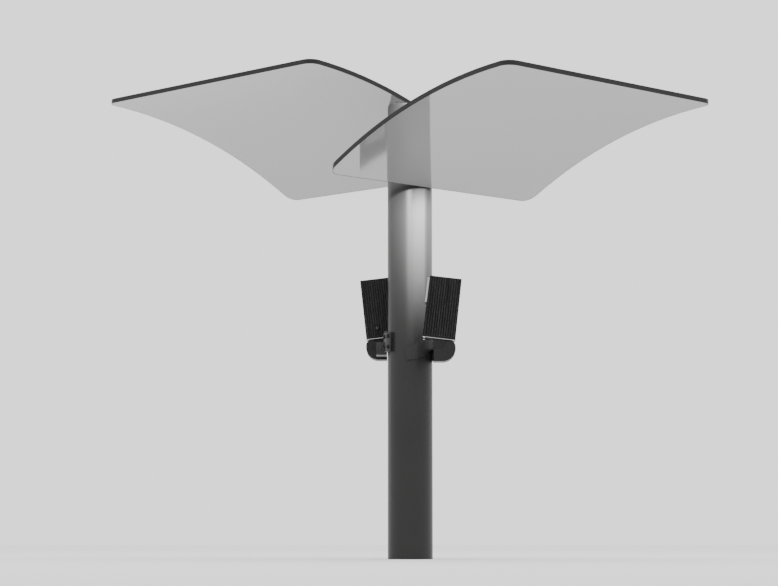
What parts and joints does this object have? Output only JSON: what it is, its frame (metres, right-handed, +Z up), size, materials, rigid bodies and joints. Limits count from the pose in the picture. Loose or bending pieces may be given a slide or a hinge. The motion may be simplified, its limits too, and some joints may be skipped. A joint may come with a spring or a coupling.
{
  "type": "street lamp post",
  "caption": "Upper section of an indirect street lamp: a round post with two arched reflector wings, each lit from below by a finned projector that tilts in a cradle.",
  "frame": {"origin": "centre of the post's open foot, on the plane of its bottom edge", "axes": "+Z up along the post; -Y towards the front projector and the side the lamp is seen from; +X to the right of that view"},
  "size_m": [2.2474, 2.1044, 1.793],
  "materials": {
    "post_paint": "satin charcoal powder coat, faint metallic",
    "frame_paint": "satin dark grey",
    "reflector": "smooth light grey, glossy underside",
    "cover_paint": "satin light grey",
    "galvanised": "galvanised",
    "zinc_fastener": "bright stainless",
    "housing_black": "matt black powder coat",
    "cradle_black": "satin black",
    "bare_aluminium": "machined",
    "clear_glass": "clear toughened glass",
    "mirror_cup": "vacuum metallised",
    "rubber_black": "EPDM rubber",
    "circuit_white": "white solder mask",
    "gear_plastic": "moulded, light grey",
    "nylon_black": "moulded nylon"
  },
  "bodies": {
    "post_and_wings": {"post_tube": "post_paint", "foot_sleeve": "galvanised", "foot_set_screws": "zinc_fastener", "post_head_plate": "galvanised", "cable_grommets": "rubber_black", "gear_tray": "galvanised", "led_drivers": "gear_plastic", "terminal_block": "nylon_black", "front_root_bolts": "zinc_fastener", "rear_clamp_bolts": "zinc_fastener", "rear_clamp_spacer": "bare_aluminium", "rear_seat_pad": "rubber_black", "front_edge_frame": "frame_paint", "front_reflector_sheet": "reflector", "front_top_cover": "cover_paint", "front_carrier_packers": "rubber_black", "front_carrier": "post_paint", "front_carrier_nuts": "zinc_fastener", "front_stiffening_ribs": "bare_aluminium", "front_arm": "post_paint", "front_arm_bolts": "zinc_fastener", "front_cradle": "cradle_black", "front_cradle_bolts": "zinc_fastener", "front_tilt_pin": "cradle_black", "rear_edge_frame": "frame_paint", "rear_reflector_sheet": "reflector", "rear_top_cover": "cover_paint", "rear_carrier_packers": "rubber_black", "rear_carrier": "post_paint", "rear_carrier_nuts": "zinc_fastener", "rear_stiffening_ribs": "bare_aluminium", "rear_arm": "post_paint", "rear_arm_bolts": "zinc_fastener", "rear_cradle": "cradle_black", "rear_cradle_bolts": "zinc_fastener", "rear_tilt_pin": "cradle_black"},
    "front_projector": {"front_tilt_neck": "cradle_black", "front_housing": "housing_black", "front_base_plate": "bare_aluminium", "front_base_screws": "zinc_fastener", "front_led_board": "circuit_white", "front_reflector_cup": "mirror_cup", "front_glass_gasket": "rubber_black", "front_front_glass": "clear_glass", "front_projector_bezel": "housing_black", "front_bezel_screws": "zinc_fastener", "front_side_cover": "bare_aluminium", "front_cable_gland": "nylon_black"},
    "rear_projector": {"rear_tilt_neck": "cradle_black", "rear_housing": "housing_black", "rear_base_plate": "bare_aluminium", "rear_base_screws": "zinc_fastener", "rear_led_board": "circuit_white", "rear_reflector_cup": "mirror_cup", "rear_glass_gasket": "rubber_black", "rear_front_glass": "clear_glass", "rear_projector_bezel": "housing_black", "rear_bezel_screws": "zinc_fastener", "rear_side_cover": "bare_aluminium", "rear_cable_gland": "nylon_black"}
  },
  "joints": [
    {"name": "front_projector_tilt", "type": "hinge", "parent": "post_and_wings", "child": "front_projector", "pos_m": [0.147, -0.15, 0.778], "axis": [0, 1, 0], "range_deg": [-15, 25]},
    {"name": "rear_projector_tilt", "type": "hinge", "parent": "post_and_wings", "child": "rear_projector", "pos_m": [-0.147, 0.15, 0.81], "axis": [0, -1, 0], "range_deg": [-15, 25]}
  ]
}
